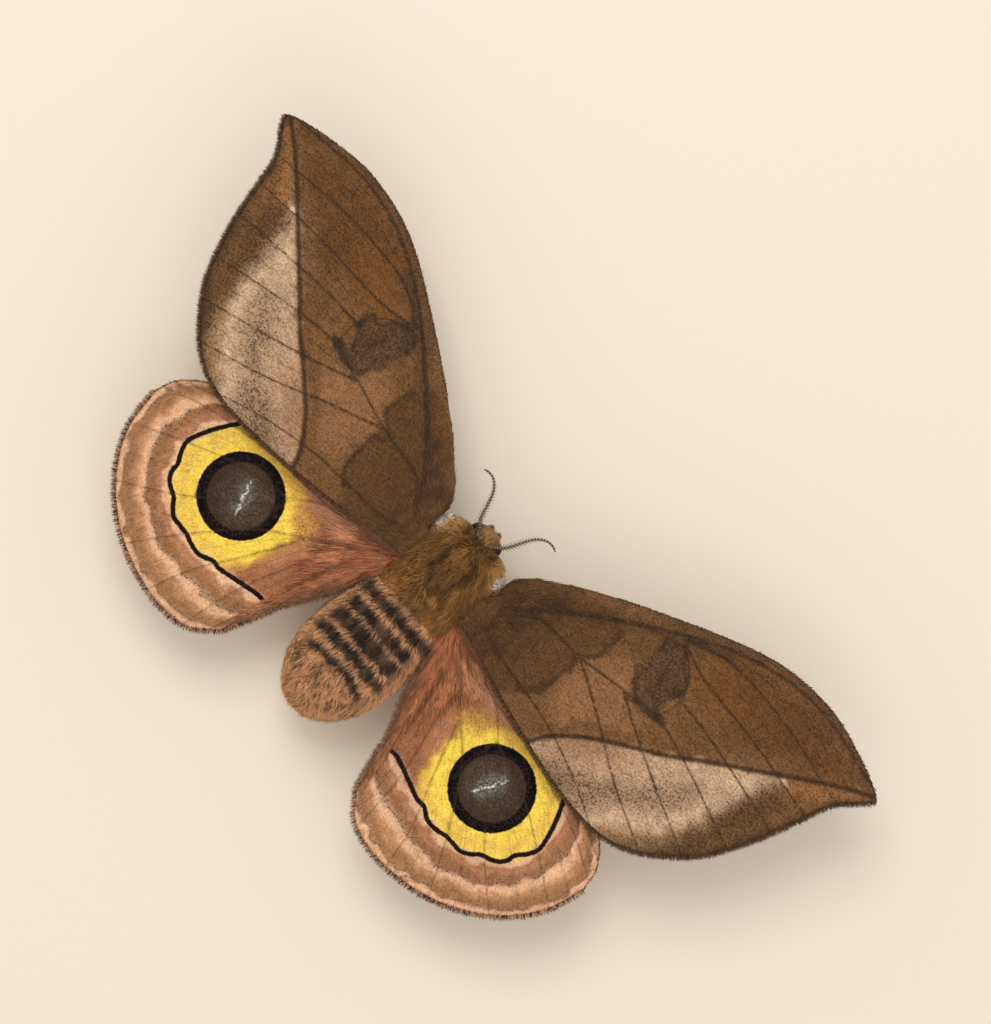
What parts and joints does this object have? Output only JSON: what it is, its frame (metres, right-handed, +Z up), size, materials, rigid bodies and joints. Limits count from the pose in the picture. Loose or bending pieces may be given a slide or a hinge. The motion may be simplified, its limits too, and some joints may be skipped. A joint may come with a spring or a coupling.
{
  "type": "automeris zozine moth",
  "caption": "Still, life-size eyed silk moth standing with wings spread: brown leaf-like forewings with raised veins over rosy hindwings, each with a black eyespot ringed in yellow.",
  "frame": {"origin": "on the floor, under the middle of the moth's box", "axes": "+X to the moth's right along the span, +Y towards its head, +Z up"},
  "size_m": [0.0986, 0.049, 0.0127],
  "materials": {
    "thorax_fur": "dense matt fur, olive brown with tawny and dark streaks along the body",
    "abdomen_fur": "short matt fur, rosy tan with dark brown bands across",
    "forewing_scales": "matt scales, leaf brown with a dark slanting line, a pinkish grey outer field and dark veins",
    "hindwing_scales": "matt scales, rosy brown with a black eyespot in a yellow field and brown and pink bands outside it",
    "eye": "glossy dark brown, finely faceted",
    "antenna": "satin dark grey brown, beaded",
    "leg_fur": "short dark brown fur with bare horny claws"
  },
  "bodies": {
    "root": {"thorax": "thorax_fur", "head": "thorax_fur", "abdomen": "abdomen_fur", "eye_left": "eye", "eye_right": "eye", "antenna_left": "antenna", "antenna_right": "antenna", "forewing_left": "forewing_scales", "forewing_right": "forewing_scales", "hindwing_left": "hindwing_scales", "hindwing_right": "hindwing_scales", "foreleg_left": "leg_fur", "foreleg_right": "leg_fur", "midleg_left": "leg_fur", "midleg_right": "leg_fur", "hindleg_left": "leg_fur", "hindleg_right": "leg_fur"}
  },
  "joints": []
}
